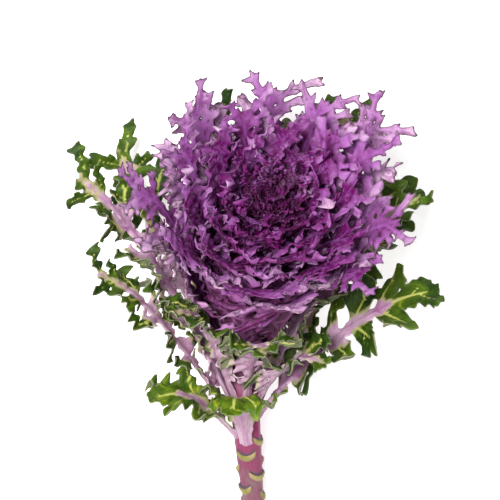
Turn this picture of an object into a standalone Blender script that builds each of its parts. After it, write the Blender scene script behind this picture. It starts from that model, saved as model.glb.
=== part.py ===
"""Purple flowering kale: one cut stem with its whole leafy head, laid on its side.

Heights run along the stem's middle line from 0, where the lowest leaf grows, up to the
heart. The line rises from the surface at the cut end and nods upwards through the head.
An azimuth goes round that line: 0 is +X, 90 is the upper side, 270 faces the surface.
Every leaf lies in a sector of its own turned shell, so leaves nest without crossing.
"""

import math
from collections import namedtuple

import bmesh
import bpy
import numpy as np

MM = 0.001
GAP = 0.4 * MM

# The middle line of stem and head
CUT_HEIGHT = -92 * MM
CROWN_TOP = 72 * MM
STEM_RISE = math.radians(10)
STEM_LEAN = 0.09
HEAD_NOD = math.radians(48)
NOD_LENGTH = 140 * MM
HEAD_LEAN = 16 * MM
ORIGIN_SHIFT = (-5.65 * MM, -40.5 * MM)
BASE_HEIGHT = 20.7 * MM
TOUCH = 0.2 * MM

# The stem: its radius at some heights, and the leaf scars down its bare length
STEM_HEIGHTS = (CUT_HEIGHT, -46 * MM, -33 * MM, -12 * MM, 0.0, 18 * MM, CROWN_TOP)
STEM_RADII = (5.0 * MM, 5.3 * MM, 6.1 * MM, 6.8 * MM, 7.5 * MM, 7.5 * MM, 3.2 * MM)
STEM_SIDES = 16
BARE_TOP = -10 * MM
BARE_RINGS = 44
CROWN_RINGS = 8
SCAR_COUNT = 21
SCAR_FIRST = -15 * MM
SCAR_PITCH = -3.6 * MM
SCAR_TALL = 6.0 * MM
SCAR_SMILE = 0.35
SCAR_RISE = 1.4 * MM
SCAR_WIDTH = math.radians(50)
SCAR_TURN = math.radians(20)

# Leaf order round the stem
GOLDEN_ANGLE = math.radians(137.508)
LINE_STEPS = 60

Leaf = namedtuple(
    "Leaf",
    "name azimuth root length lean half_width bare rib thickness lobes wave",
)
# Lobes of one side: how far each reaches as a share of the half width, their angles
# from the rib in degrees at the first and last lobe, and the uncut strip's share
Lobes = namedtuple("Lobes", "reach angles strip")
PINNATE = Lobes((0.65, 0.90, 1.05, 1.00), (64, 40), 0.20)
FAN = Lobes((0.60, 0.85, 1.00, 0.90), (66, 34), 0.27)
NARROW = Lobes((0.65, 1.00, 0.95), (62, 34), 0.30)
SMALL = Lobes((0.85, 1.00), (54, 34), 0.36)
# A lobe's corners: share of its length, of its half width, and of its wave
LOBE_CORNERS = (
    (0.50, -1.00, 0.4),
    (0.50, 1.00, 0.4),
    (0.92, -1.30, 1.0),
    (0.70, 0.00, 0.8),
    (1.00, 0.95, 1.0),
)
# The end lobe's corners: share of its length, of its half width, and its wave
END_CORNERS = (
    (0.55, -0.30, 0.0),
    (0.55, 0.30, 0.0),
    (0.95, -0.32, 0.0),
    (0.76, 0.00, 0.0),
    (1.00, 0.20, 0.0),
)
BLADE_END = 0.80
LOBE_GAP = 2.2 * MM
LOBE_SPREAD = 0.02
LOBE_THICKNESS = 0.9 * MM
EDGE_RIB = 0.35
RIB_TAPER = 0.6

# Outer leaves, one row each: azimuth, root height, length, lean from the stem at root,
# middle and tip in degrees, half width, wave. Lengths are in millimetres.
OUTER_ROWS = (
    (271, 1, 128, (34, 44, 53), 22, 0.8),
    (221, 4, 136, (31, 41, 50), 24, 2.0),
    (326, 5, 126, (29, 40, 50), 22, 2.0),
    (12, 1, 120, (36, 44, 46), 22, 2.5),
    (171, 2, 112, (34, 37, 40), 19, 2.0),
    (190, 9, 156, (27, 36, 44), 23, 2.5),
    (350, 11, 124, (25, 30, 38), 21, 2.0),
    (302, 15, 126, (22, 29, 42), 20, 1.5),
    (247, 15, 124, (22, 29, 42), 20, 1.5),
    (98, -11, 56, (24, 50, 104), 21, 1.5),
    (150, -9, 52, (40, 56, 76), 19, 2.0),
    (52, 6, 70, (34, 43, 62), 20, 1.5),
    (84, 11, 82, (27, 36, 58), 22, 1.5),
    (138, 12, 84, (23, 28, 44), 20, 1.2),
)
OUTER_BARE = 0.26
OUTER_RIB = 4.0 * MM
SHORT_RIB = 1 / 16
SHORT_LEAF = 72 * MM
OUTER_THICKNESS = 2.6 * MM

# The rosette: leaves from the outermost, share 0, to the innermost, share 1
ROSETTE_COUNT = 34
ROSETTE_FIRST = math.radians(268)
ROSETTE_ROOTS = (20 * MM, 69 * MM)
ROSETTE_LENGTHS = (135 * MM, 69 * MM)
ROSETTE_LEANS = ((22, 26, 40), (20, 8, 2))
ROSETTE_HALF_WIDTHS = (44 * MM, 11 * MM)
ROSETTE_RIBS = (3.4 * MM, 1.8 * MM)
ROSETTE_THICKNESSES = (2.0 * MM, 1.3 * MM)
ROSETTE_BARE = 0.30
NARROW_FROM = 0.6
ROSETTE_WAVE = 0.4 * MM

# The heart: a core with small leaves standing out of it, from the lowest to the topmost
HEART_FOOT = CROWN_TOP + GAP
HEART_HEIGHTS = (HEART_FOOT, HEART_FOOT + 10 * MM, HEART_FOOT + 40 * MM, HEART_FOOT + 46 * MM)
HEART_RADII = (2.4 * MM, 3.4 * MM, 3.0 * MM, 1.6 * MM)
HEART_SIDES = 10
HEART_BARE = 0.4
HEART_LEAVES = 16
HEART_ROOTS = (3 * MM, 42 * MM)
HEART_LENGTHS = (58 * MM, 18 * MM)
HEART_LEANS = ((26, 10, 4), (22, 4, 0))
HEART_HALF_WIDTHS = (7 * MM, 2.6 * MM)
HEART_RIBS = (1.8 * MM, 0.8 * MM)
HEART_THICKNESS = 1.2 * MM
HEART_SINK = 1.6 * MM

COLOURS = {
    "stem": ((0.50, 0.16, 0.30), 0.45),
    "outer_leaf": ((0.22, 0.36, 0.10), 0.5),
    "rosette_leaf": ((0.42, 0.14, 0.44), 0.5),
    "heart": ((0.20, 0.03, 0.18), 0.5),
}


def mix(pair, share):
    """The value that lies a share of the way from a pair's first to its second."""
    return pair[0] + (pair[1] - pair[0]) * share


def spine(height):
    """Distance along the surface, height above it and rise of the middle line."""
    turn = HEAD_NOD / NOD_LENGTH
    bent = np.clip(height, 0, NOD_LENGTH)
    straight = height - bent
    rise = STEM_RISE + turn * bent
    along = (np.sin(rise) - math.sin(STEM_RISE)) / turn + straight * np.cos(rise)
    up = (math.cos(STEM_RISE) - np.cos(rise)) / turn + straight * np.sin(rise)
    return along, up, rise


def place(x, y, height):
    """World points of a point beside the middle line: x to +X, y to the upper side."""
    along, up, rise = spine(height)
    lean = HEAD_LEAN * (np.maximum(height, 0) / NOD_LENGTH) ** 2
    lean = lean - STEM_LEAN * np.minimum(height, 0)
    return np.stack(
        [
            x + lean + ORIGIN_SHIFT[0],
            along - y * np.sin(rise) + ORIGIN_SHIFT[1],
            up + y * np.cos(rise) + BASE_HEIGHT,
        ],
        axis=-1,
    )


def stem_radius(height):
    """The stem's radius, or radii, without its leaf scars."""
    return np.interp(height, STEM_HEIGHTS, STEM_RADII)


def root_radius(leaf):
    """Where a leaf starts: clear of the stem, or sunk in the heart's core."""
    if leaf.root < CROWN_TOP:
        return stem_radius(leaf.root) + GAP + leaf.thickness / 2
    return np.interp(leaf.root, HEART_HEIGHTS, HEART_RADII) - HEART_SINK


def midline(leaf):
    """Radius, height and lean at even steps along a leaf's rib."""
    u = np.linspace(0, 1, LINE_STEPS + 1)
    root, middle, tip = (math.radians(angle) for angle in leaf.lean)
    lean = root * (1 - u) * (1 - 2 * u) + middle * 4 * u * (1 - u) + tip * u * (2 * u - 1)
    step = leaf.length / LINE_STEPS
    between = (lean[1:] + lean[:-1]) / 2
    radius = root_radius(leaf) + np.concatenate([[0], np.cumsum(np.sin(between))]) * step
    height = leaf.root + np.concatenate([[0], np.cumsum(np.cos(between))]) * step
    return u * leaf.length, radius, height, lean


def on_leaf(leaf, points):
    """World points for leaf points (along the rib, across it, lifted off the shell)."""
    along, across, lift = np.asarray(points, float).T
    steps, radii, heights, leans = midline(leaf)
    inside = np.clip(along, 0, leaf.length)
    past = along - inside
    lean = np.interp(inside, steps, leans)
    radius = np.interp(inside, steps, radii) + past * np.sin(lean)
    height = np.interp(inside, steps, heights) + past * np.cos(lean)
    turn = leaf.azimuth + across / radius
    radius = radius - lift * np.cos(lean)
    height = height + lift * np.sin(lean)
    return place(radius * np.cos(turn), radius * np.sin(turn), height)


def strip_half_width(leaf, u):
    """Half width of the uncut strip along the rib, at a share u of the leaf."""
    wide = leaf.lobes.strip * leaf.half_width
    knots = (0, leaf.bare, (leaf.bare + BLADE_END) / 2, BLADE_END, 1)
    return np.interp(u, knots, (leaf.rib, leaf.rib, wide, wide * 0.7, leaf.rib * 0.5))


def lobe_list(leaf):
    """Side lobes from the lowest: rib position, base half length, angle, reach."""
    count = len(leaf.lobes.reach)
    pitch = (BLADE_END - leaf.bare) * leaf.length / count
    found = []
    for index, reach in enumerate(leaf.lobes.reach):
        angle = math.radians(mix(leaf.lobes.angles, index / (count - 1)))
        base = leaf.bare * leaf.length + pitch * (index + 0.5)
        strip = strip_half_width(leaf, base / leaf.length)
        found.append((base, pitch / 2, angle, reach * leaf.half_width - strip))
    return found


def toothed_end(low, high, tooth_low, notch, tooth_high):
    """Triangles of a lobe's two-toothed end."""
    return [(low, tooth_low, notch), (low, notch, high), (notch, tooth_high, high)]


def add_lobe(pattern, edge, start, angle, side, length, half, lift):
    """Adds one side lobe to the strip edge between two points of the pattern."""
    points, triangles = pattern
    ahead = np.array([math.cos(angle), side * math.sin(angle)])
    aside = np.array([math.sin(angle), -side * math.cos(angle)])
    begin = len(points)
    for reach, offset, share in LOBE_CORNERS:
        along, across = np.array(start) + ahead * length * reach + aside * offset * half
        points.append((along, across, lift * share, 0.0))
    ends = range(begin, begin + len(LOBE_CORNERS))
    first, last = edge
    faces = [(first, ends[0], last), (ends[0], ends[1], last), *toothed_end(*ends)]
    triangles.extend(faces if side < 0 else [face[::-1] for face in faces])


def add_end_lobe(pattern, leaf, last):
    """Adds the lobe at the leaf's tip, on the strip's last row of points."""
    points, triangles = pattern
    long = leaf.length * (1 - BLADE_END)
    begin = len(points)
    for reach, offset, share in END_CORNERS:
        along = leaf.length * BLADE_END + long * reach
        points.append((along, long * offset, leaf.wave * share, EDGE_RIB / 2))
    ends = range(begin, begin + len(END_CORNERS))
    triangles += [(last, ends[0], last + 1), (last + 1, ends[0], ends[1])]
    triangles += [(last + 1, ends[1], last + 2), *toothed_end(*ends)]


def blade_pattern(leaf):
    """A leaf's flat pattern: points (along, across, lift, rib weight) and triangles."""
    count = len(leaf.lobes.reach)
    shares = [0, leaf.bare / 2, *np.linspace(leaf.bare, BLADE_END, count + 1)]
    pattern = points, triangles = [], []
    for u in shares:
        half = strip_half_width(leaf, u)
        weight = 1 - RIB_TAPER * u
        for across, share in ((-half, EDGE_RIB), (0, 1), (half, EDGE_RIB)):
            points.append((u * leaf.length, across, 0.0, weight * share))
    for row in range(len(shares) - 1):
        for low in (3 * row, 3 * row + 1):
            triangles += [(low, low + 3, low + 1), (low + 1, low + 3, low + 4)]
    for index, (base, half_base, angle, length) in enumerate(lobe_list(leaf)):
        half = half_base * math.sin(angle) - LOBE_GAP / 2 + length * LOBE_SPREAD
        wave = leaf.wave * (-1) ** index
        for side, column in ((-1, 0), (1, 2)):
            first = 3 * (index + 2) + column
            strip = side * strip_half_width(leaf, base / leaf.length)
            edge = (first, first + 3)
            add_lobe(pattern, edge, (base, strip), angle, side, length, half, wave * side)
    add_end_lobe(pattern, leaf, 3 * (len(shares) - 1))
    return points, triangles


def add_object(name, mesh, kind):
    """A scene object with the finish of its kind."""
    colour, roughness = COLOURS[kind]
    material = bpy.data.materials.get(kind) or bpy.data.materials.new(kind)
    material.use_nodes = True
    shader = material.node_tree.nodes["Principled BSDF"]
    shader.inputs["Base Color"].default_value = (*colour, 1)
    shader.inputs["Roughness"].default_value = roughness
    mesh.materials.append(material)
    obj = bpy.data.objects.new(name, mesh)
    bpy.data.collections["purple kale bunch"].objects.link(obj)
    return obj


def thicken(obj, weights, thickness):
    """Gives a blade its thickness: full along the rib, thin at the lobes."""
    group = obj.vertex_groups.new(name="rib")
    for index, weight in enumerate(weights):
        group.add([index], weight, "REPLACE")
    solid = obj.modifiers.new("thickness", "SOLIDIFY")
    solid.thickness = thickness
    solid.offset = 0
    solid.vertex_group = "rib"
    solid.thickness_vertex_group = LOBE_THICKNESS / thickness


def applied(obj):
    """Swaps an object's mesh for the one that its modifiers make."""
    graph = bpy.context.evaluated_depsgraph_get()
    mesh = bpy.data.meshes.new_from_object(obj.evaluated_get(graph))
    obj.modifiers.clear()
    obj.data = mesh
    return obj


def rest_on_surface(obj):
    """Makes a flat spot of whatever touches the surface or would reach below it."""
    for vertex in obj.data.vertices:
        if vertex.co.z < TOUCH:
            vertex.co.z = 0


def make_leaf(leaf, kind):
    """One leaf as a solid, kept on or above the surface."""
    points, triangles = blade_pattern(leaf)
    world = on_leaf(leaf, [point[:3] for point in points])
    weights = [point[3] for point in points]
    half = (LOBE_THICKNESS + (leaf.thickness - LOBE_THICKNESS) * np.array(weights)) / 2
    world[:, 2] = np.maximum(world[:, 2], half)
    mesh = bpy.data.meshes.new(leaf.name)
    mesh.from_pydata(world.tolist(), [], triangles)
    obj = add_object(leaf.name, mesh, kind)
    thicken(obj, weights, leaf.thickness)
    rest_on_surface(applied(obj))
    return obj


def outer_leaves():
    """The pink-ribbed leaves with green lobes below and round the rosette."""
    for number, row in enumerate(OUTER_ROWS, start=1):
        azimuth, root, length, lean, half_width, wave = row
        leaf = Leaf(
            name=f"outer_leaf_{number:02d}",
            azimuth=math.radians(azimuth),
            root=root * MM,
            length=length * MM,
            lean=lean,
            half_width=half_width * MM,
            bare=OUTER_BARE,
            rib=min(OUTER_RIB, length * MM * SHORT_RIB),
            thickness=OUTER_THICKNESS,
            lobes=PINNATE if length * MM > SHORT_LEAF else NARROW,
            wave=wave * MM,
        )
        make_leaf(leaf, "outer_leaf")


def rosette_leaf(index):
    """The rosette's leaf of that index, counted from the outermost."""
    share = index / (ROSETTE_COUNT - 1)
    return Leaf(
        name=f"rosette_leaf_{index + 1:02d}",
        azimuth=ROSETTE_FIRST + index * GOLDEN_ANGLE,
        root=mix(ROSETTE_ROOTS, share),
        length=mix(ROSETTE_LENGTHS, share),
        lean=tuple(mix(pair, share) for pair in zip(*ROSETTE_LEANS)),
        half_width=mix(ROSETTE_HALF_WIDTHS, share),
        bare=ROSETTE_BARE,
        rib=mix(ROSETTE_RIBS, share),
        thickness=mix(ROSETTE_THICKNESSES, share),
        lobes=FAN if share < NARROW_FROM else NARROW,
        wave=ROSETTE_WAVE * (1 - share),
    )


def rosette():
    """The purple leaves, in golden-angle order from the outermost to the heart."""
    for index in range(ROSETTE_COUNT):
        make_leaf(rosette_leaf(index), "rosette_leaf")


def scar_relief(height, azimuth):
    """How far the leaf scars stand out of the stem at a height and azimuth."""
    relief = 0.0
    for index in range(SCAR_COUNT):
        turn = azimuth - SCAR_TURN + index * GOLDEN_ANGLE
        across = abs((turn + math.pi) % math.tau - math.pi) / SCAR_WIDTH
        rim = SCAR_FIRST + index * SCAR_PITCH + SCAR_SMILE * SCAR_TALL * across**2
        below = (rim - height) / SCAR_TALL
        if across < 1 and 0 <= below <= 1:
            relief = max(relief, SCAR_RISE * (1 - across**2) * (1 - below))
    return relief


def ring_heights():
    """Heights of the stem's rings: close down its bare length, wide in the crown."""
    bare = np.linspace(CUT_HEIGHT, BARE_TOP, BARE_RINGS + 1)
    crown = np.linspace(BARE_TOP, CROWN_TOP, CROWN_RINGS + 1)
    return [*bare[1:], *crown[1:-1]]


def turned_solid(name, bottom, top, rings, sides, radius_at):
    """A solid turned about the middle line, with rings at the heights given."""
    shape = bmesh.new()
    bmesh.ops.create_cone(
        shape, segments=sides, cap_ends=True, radius1=1, radius2=1, depth=top - bottom
    )
    middle = (bottom + top) / 2
    for height in rings:
        bmesh.ops.bisect_plane(
            shape,
            geom=shape.verts[:] + shape.edges[:] + shape.faces[:],
            plane_co=(0, 0, height - middle),
            plane_no=(0, 0, 1),
            dist=1e-6,
        )
    for vertex in shape.verts:
        height = vertex.co.z + middle
        azimuth = math.atan2(vertex.co.y, vertex.co.x)
        radius = radius_at(height, azimuth)
        vertex.co = place(radius * math.cos(azimuth), radius * math.sin(azimuth), height)
    bmesh.ops.reverse_faces(shape, faces=shape.faces[:])
    bmesh.ops.triangulate(shape, faces=[f for f in shape.faces if len(f.verts) == 4])
    mesh = bpy.data.meshes.new(name)
    shape.to_mesh(mesh)
    shape.free()
    return add_object(name, mesh, name)


def stem():
    """The bare stem with its leaf scars, and the crown that the leaves grow from."""

    def radius_at(height, azimuth):
        return stem_radius(height) + scar_relief(height, azimuth)

    solid = turned_solid(
        "stem", CUT_HEIGHT, CROWN_TOP, ring_heights(), STEM_SIDES, radius_at
    )
    rest_on_surface(solid)


def heart_core():
    """The solid middle of the heart, turned about the middle line."""

    def radius_at(height, azimuth):
        return np.interp(height, HEART_HEIGHTS, HEART_RADII)

    bottom, *rings, top = HEART_HEIGHTS
    return turned_solid("heart", bottom, top, rings, HEART_SIDES, radius_at)


def heart_leaf(index):
    """One small leaf of the heart, rooted in the core."""
    share = index / (HEART_LEAVES - 1)
    return Leaf(
        name="heart_leaf",
        azimuth=index * GOLDEN_ANGLE,
        root=HEART_FOOT + mix(HEART_ROOTS, share),
        length=mix(HEART_LENGTHS, share),
        lean=tuple(mix(pair, share) for pair in zip(*HEART_LEANS)),
        half_width=mix(HEART_HALF_WIDTHS, share),
        bare=HEART_BARE,
        rib=mix(HEART_RIBS, share),
        thickness=HEART_THICKNESS,
        lobes=SMALL,
        wave=0.0,
    )


def heart():
    """The dense middle of the head: the core and its small leaves, joined."""
    core = heart_core()
    blades = bpy.data.collections.new("heart blades")
    bpy.context.scene.collection.children.link(blades)
    for index in range(HEART_LEAVES):
        blade = make_leaf(heart_leaf(index), "heart")
        blades.objects.link(blade)
        core.users_collection[0].objects.unlink(blade)
    union = core.modifiers.new("join", "BOOLEAN")
    union.operation = "UNION"
    union.operand_type = "COLLECTION"
    union.collection = blades
    union.solver = "MANIFOLD"
    bpy.context.view_layer.update()
    applied(core)
    for obj in list(blades.objects):
        bpy.data.objects.remove(obj)
    bpy.data.collections.remove(blades)


def main():
    """Builds every piece in the emptied scene."""
    for obj in list(bpy.data.objects):
        bpy.data.objects.remove(obj)
    parts = bpy.data.collections.new("purple kale bunch")
    bpy.context.scene.collection.children.link(parts)
    stem()
    outer_leaves()
    rosette()
    heart()


main()
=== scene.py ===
"""Purple flowering kale: finely cut leaves, a scarred stem and a pale studio stage.

Lengths are in metres. Heights run along the stem's bent middle line, from 0 where the
lowest leaf grows up to the heart, and an azimuth goes round it: 90 is the upper side.
Each leaf is drawn flat as a branching set of twigs, cut out along their joint outline,
ruffled, and wrapped on its own turned shell round the stem.
"""

import math
from collections import namedtuple

import bpy
import numpy as np
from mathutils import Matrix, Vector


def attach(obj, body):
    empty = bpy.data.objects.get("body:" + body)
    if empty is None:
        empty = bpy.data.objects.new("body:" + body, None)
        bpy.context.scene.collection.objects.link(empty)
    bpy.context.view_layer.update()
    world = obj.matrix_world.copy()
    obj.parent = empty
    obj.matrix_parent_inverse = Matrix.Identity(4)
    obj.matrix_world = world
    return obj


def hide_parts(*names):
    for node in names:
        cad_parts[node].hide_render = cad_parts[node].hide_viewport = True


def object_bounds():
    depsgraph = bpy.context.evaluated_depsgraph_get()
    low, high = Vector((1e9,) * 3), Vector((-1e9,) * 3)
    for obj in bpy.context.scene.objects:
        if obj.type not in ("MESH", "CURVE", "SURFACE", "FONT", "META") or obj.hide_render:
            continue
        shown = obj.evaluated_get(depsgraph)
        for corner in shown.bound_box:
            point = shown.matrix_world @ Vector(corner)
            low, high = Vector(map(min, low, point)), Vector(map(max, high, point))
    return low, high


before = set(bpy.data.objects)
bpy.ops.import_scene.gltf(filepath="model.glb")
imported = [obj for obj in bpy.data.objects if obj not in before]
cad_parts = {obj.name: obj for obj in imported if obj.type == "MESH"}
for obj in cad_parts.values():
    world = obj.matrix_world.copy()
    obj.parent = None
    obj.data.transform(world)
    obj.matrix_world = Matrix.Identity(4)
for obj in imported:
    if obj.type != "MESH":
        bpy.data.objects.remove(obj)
CAD_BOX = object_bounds()

bl_info = {
    "name": "Purple flowering kale",
    "version": (1, 0, 0),
    "blender": (4, 5, 0),
    "location": "3D View > Sidebar > Kale",
    "description": "Dresses the kale's solids with cut leaves, scars and veins",
    "category": "Object",
}

MM = 0.001
BODY = "root"

# The middle line of stem and head
CUT_HEIGHT = -92 * MM
CROWN_TOP = 72 * MM
STEM_RISE = math.radians(10)
STEM_LEAN = 0.09
HEAD_NOD = math.radians(48)
NOD_LENGTH = 140 * MM
HEAD_LEAN = 16 * MM
ORIGIN_SHIFT = (-5.65 * MM, -40.5 * MM)
BASE_HEIGHT = 20.7 * MM

# Room between stem and leaves, over the surface, and past the solids' box as a share of it
GAP = 0.4 * MM
FLOOR_CLEARANCE = 0.05 * MM
BOX_ROOM = 0.02

# The stem's radius at some heights, and the leaf scars down its bare length
STEM_HEIGHTS = (CUT_HEIGHT, -46 * MM, -33 * MM, -12 * MM, 0.0, 18 * MM, CROWN_TOP)
STEM_RADII = (5.0 * MM, 5.3 * MM, 6.1 * MM, 6.8 * MM, 7.5 * MM, 7.5 * MM, 3.2 * MM)
SCAR_COUNT = 21
SCAR_FIRST = -15 * MM
SCAR_PITCH = -3.6 * MM
SCAR_TALL = 4.4 * MM
SCAR_SMILE = 0.7
SCAR_WIDTH = math.radians(50)
SCAR_TURN = math.radians(20)
SCAR_GROOVE = 0.35 * MM

# The stem's mesh: points round it, rings on its bare length and in the crown, the share
# of triangles kept, and the first two rings above the cut
STEM_SIDES = 96
STEM_RING = 0.42 * MM
STEM_KEEP = 0.6
CROWN_FOOT = 6 * MM
CROWN_RINGS = 30
CUT_EDGE = (0.25 * MM, 0.6 * MM)

# Leaf order round the stem, steps of a leaf's line, and where its blade ends
GOLDEN_ANGLE = math.radians(137.508)
LINE_STEPS = 60
BLADE_END = 0.80
LOBE_GAP = 2.2 * MM
LOBE_SPREAD = 0.02

# One leaf. Bare is the stalk's share of it, wave how far its solid's lobes swing, and
# share its place from the outermost, 0, to the innermost, 1
Leaf = namedtuple(
    "Leaf",
    "name azimuth root length lean half_width bare rib thickness lobes wave share",
)
# Lobes of one side: how far each reaches as a share of the half width, their angles
# from the rib in degrees at the first and last lobe, and the uncut strip's share
Lobes = namedtuple("Lobes", "reach angles strip")
PINNATE = Lobes((0.65, 0.90, 1.05, 1.00), (64, 40), 0.20)
FAN = Lobes((0.60, 0.85, 1.00, 0.90), (66, 34), 0.27)
NARROW = Lobes((0.65, 1.00, 0.95), (62, 34), 0.30)
SMALL = Lobes((0.85, 1.00), (54, 34), 0.36)

# Outer leaves, one row each: azimuth, root height, length, lean from the stem at root,
# middle and tip in degrees, half width, wave. Lengths are in millimetres.
OUTER_ROWS = (
    (271, 1, 128, (34, 44, 53), 22, 0.8),
    (221, 4, 136, (31, 41, 50), 24, 2.0),
    (326, 5, 126, (29, 40, 50), 22, 2.0),
    (12, 1, 120, (36, 44, 46), 22, 2.5),
    (171, 2, 112, (34, 37, 40), 19, 2.0),
    (190, 9, 156, (27, 36, 44), 23, 2.5),
    (350, 11, 124, (25, 30, 38), 21, 2.0),
    (302, 15, 126, (22, 29, 42), 20, 1.5),
    (247, 15, 124, (22, 29, 42), 20, 1.5),
    (98, -11, 56, (24, 50, 104), 21, 1.5),
    (150, -9, 52, (40, 56, 76), 19, 2.0),
    (52, 6, 70, (34, 43, 62), 20, 1.5),
    (84, 11, 82, (27, 36, 58), 22, 1.5),
    (138, 12, 84, (23, 28, 44), 20, 1.2),
)
# The leaves cut like lace, and what all or the short outer leaves share
LACE_ROWS = (2, 5, 6, 7, 8, 9, 12, 13, 14)
OUTER_BARE = 0.26
OUTER_RIB = 4.0 * MM
SHORT_RIB = 1 / 16
SHORT_LEAF = 72 * MM
PAD_LEAF = 60 * MM
OUTER_THICKNESS = 2.6 * MM

# The rosette: leaves from the outermost, share 0, to the innermost, share 1
ROSETTE_COUNT = 34
ROSETTE_FIRST = math.radians(268)
ROSETTE_ROOTS = (20 * MM, 69 * MM)
ROSETTE_LENGTHS = (135 * MM, 69 * MM)
ROSETTE_LEANS = ((22, 26, 40), (20, 8, 2))
ROSETTE_HALF_WIDTHS = (44 * MM, 11 * MM)
ROSETTE_RIBS = (3.4 * MM, 1.8 * MM)
ROSETTE_THICKNESSES = (2.0 * MM, 1.3 * MM)
ROSETTE_BARE = 0.30
NARROW_FROM = 0.6

# The rosette is a little square: its leaves bend sideways towards its corners
CORNER = math.radians(225)
GATHER = 9 * MM

# Painted shade: leaves on the upper side are coloured darker, like leaves that grow further in
UPPER_SIDE_PAINTED_SHADE = 0.4

# The heart: a core with small leaves standing out of it, from the lowest to the topmost
HEART_FOOT = CROWN_TOP + GAP
HEART_HEIGHTS = (HEART_FOOT, HEART_FOOT + 10 * MM, HEART_FOOT + 40 * MM, HEART_FOOT + 46 * MM)
HEART_RADII = (2.4 * MM, 3.4 * MM, 3.0 * MM, 1.6 * MM)
HEART_BARE = 0.3
HEART_ROOTS = (3 * MM, 42 * MM)
HEART_LENGTHS = (60 * MM, 20 * MM)
HEART_LEANS = ((24, 8, 34), (20, 4, 30))
HEART_HALF_WIDTHS = (10 * MM, 5 * MM)
HEART_RIBS = (1.6 * MM, 0.8 * MM)
HEART_THICKNESS = 1.2 * MM
HEART_SINK = 1.6 * MM
HEART_SHAPE = {
    "blade": 0.6 * MM,
    "lobe_wave": 1.5 * MM,
    "ruffle_depth": 2.2 * MM,
    "ruffle_length": 4 * MM,
    "curl": 1.0 * MM,
    "tip_curl": -2.0 * MM,
}
HEART_SIDES = 24
HEART_RINGS = 24
HEART_LEAN_SPREAD = 4
HEART_TURN_SPREAD = 0.2

# Random draws: a seed for each leaf's twigs, and what is added for its ruffles
ROSETTE_SEED = 40
HEART_SEED = 80
HEART_PLACE_SEED = 300
RUFFLE_SEED = 500

# How a kind of leaf is cut. Radii and lengths are those of a leaf as wide as full_width;
# a narrower leaf's are smaller by the ratio of widths to the power SIZE_POWER. Rows of
# radii go evenly from the foot of a twig to its end: strip is the leaf's middle, axis a
# lobe's, small a small lobe's, and tooth a tooth's. Small lobes stand a pitch apart, turn
# off the axis by turn and fill a reach of their room. Teeth lie a spread apart, and web is
# how far twigs flow together. Grid is the point spacing of outermost and innermost leaves,
# keep the share of triangles kept, vein a lobe's vein, and edge half the margin's
# thickness. Fringe is where lobes start on the stalk, rise their angles, and fan the angle
# of the flaps at its foot. Grow scales the first and the last lobe, and stalk the stalk.
Cut = namedtuple(
    "Cut",
    "full_width grid keep strip axis small tooth tooth_length spread pitch turn reach web"
    " vein edge fringe fan grow rise stalk",
)
PURPLE_CUT = Cut(
    full_width=44 * MM,
    grid=(0.85 * MM, 0.52 * MM),
    keep=0.45,
    strip=(2.4 * MM, 3.6 * MM, 4.6 * MM, 4.3 * MM, 3.4 * MM, 2.6 * MM),
    axis=(3.1 * MM, 2.6 * MM, 2.0 * MM),
    small=(1.3 * MM, 1.6 * MM, 1.45 * MM),
    tooth=(1.3 * MM, 1.15 * MM, 0.42 * MM),
    tooth_length=5.6 * MM,
    spread=0.74,
    pitch=7.0 * MM,
    turn=(0.86, 0.58),
    reach=1.16,
    web=1.0 * MM,
    vein=0.75 * MM,
    edge=0.25 * MM,
    fringe=0.10,
    fan=0.0,
    grow=(1.0, 1.0),
    rise=(0.45, 0.7),
    stalk=1.0,
)
GREEN_CUT = Cut(
    full_width=24 * MM,
    grid=(0.85 * MM, 0.75 * MM),
    keep=0.5,
    strip=(2.4 * MM, 3.0 * MM, 3.2 * MM, 2.8 * MM, 2.4 * MM),
    axis=(1.9 * MM, 3.6 * MM, 5.2 * MM, 4.8 * MM, 3.0 * MM),
    small=(1.8 * MM, 2.7 * MM, 2.3 * MM),
    tooth=(2.1 * MM, 1.9 * MM, 0.9 * MM),
    tooth_length=3.6 * MM,
    spread=0.7,
    pitch=14 * MM,
    turn=(0.95, 0.65),
    reach=1.0,
    web=1.8 * MM,
    vein=0.80 * MM,
    edge=0.28 * MM,
    fringe=0.08,
    fan=0.0,
    grow=(0.55, 1.25),
    rise=(0.8, 1.1),
    stalk=0.9,
)
LACE_CUT = GREEN_CUT._replace(
    strip=(2.4 * MM, 2.9 * MM, 3.0 * MM, 2.6 * MM, 2.2 * MM),
    axis=(1.5 * MM, 2.3 * MM, 2.8 * MM, 2.2 * MM),
    small=(1.1 * MM, 1.7 * MM, 1.6 * MM),
    tooth=(1.4 * MM, 1.3 * MM, 0.75 * MM),
    pitch=10.5 * MM,
    turn=(0.85, 0.6),
    web=1.0 * MM,
    fringe=0.03,
    grow=(0.8, 1.2),
    rise=(0.6, 1.0),
    stalk=0.62,
)
PAD_CUT = GREEN_CUT._replace(fan=0.36, fringe=0.25, stalk=1.0)
HEART_CUT = PURPLE_CUT._replace(
    full_width=14 * MM,
    grid=(0.62 * MM, 0.50 * MM),
    keep=0.42,
    strip=(1.2 * MM, 1.8 * MM, 1.6 * MM, 1.2 * MM),
    axis=(1.4 * MM, 0.9 * MM),
    small=(0.7 * MM, 0.8 * MM),
    tooth=(0.75 * MM, 0.36 * MM),
    tooth_length=2.2 * MM,
    pitch=3.8 * MM,
    web=0.6 * MM,
    vein=0.45 * MM,
    fringe=0.2,
)
SIZE_POWER = 0.7

# The three kinds of outer leaf: how far they roll, in degrees, how far out the green
# starts, and how much lighter it is
OuterKind = namedtuple("OuterKind", "cut roll green_from bright")
OUTER_KINDS = {
    "broad": OuterKind(GREEN_CUT, 26, 0.24, -0.04),
    "lace": OuterKind(LACE_CUT, 12, 0.42, -0.06),
    "bright": OuterKind(PAD_CUT, 26, 0.2, 0.07),
}

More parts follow.
